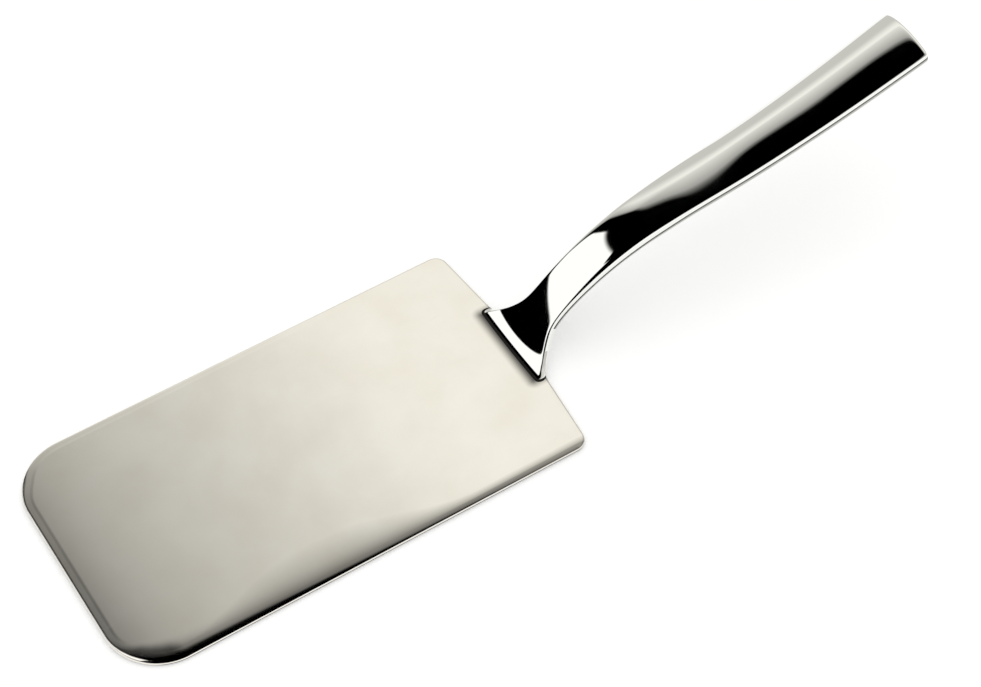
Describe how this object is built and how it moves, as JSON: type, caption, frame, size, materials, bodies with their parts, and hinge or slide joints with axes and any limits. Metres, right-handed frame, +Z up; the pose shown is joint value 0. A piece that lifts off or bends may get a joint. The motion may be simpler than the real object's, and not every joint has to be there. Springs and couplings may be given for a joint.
{
  "type": "pizza server",
  "caption": "Polished stainless pizza server: broad flat blade with round tip corners, flared steep neck and a slightly cranked handle of rounded-D section.",
  "frame": {"origin": "middle of the blade's flat underside, level with the table it lies on", "axes": "+X from the blade's tip to the handle, +Z up out of the blade, +Y across the blade"},
  "size_m": [0.264, 0.076, 0.0545],
  "materials": {
    "fine_ground_steel": "stainless sheet, fine ground and then polished to a soft mirror",
    "mirror_polished_steel": "stainless steel, buffed to a mirror and not plated"
  },
  "bodies": {
    "root": {"blade": "fine_ground_steel", "neck": "mirror_polished_steel", "handle_top": "mirror_polished_steel", "handle_bottom": "mirror_polished_steel", "end_cap": "mirror_polished_steel"}
  },
  "joints": []
}
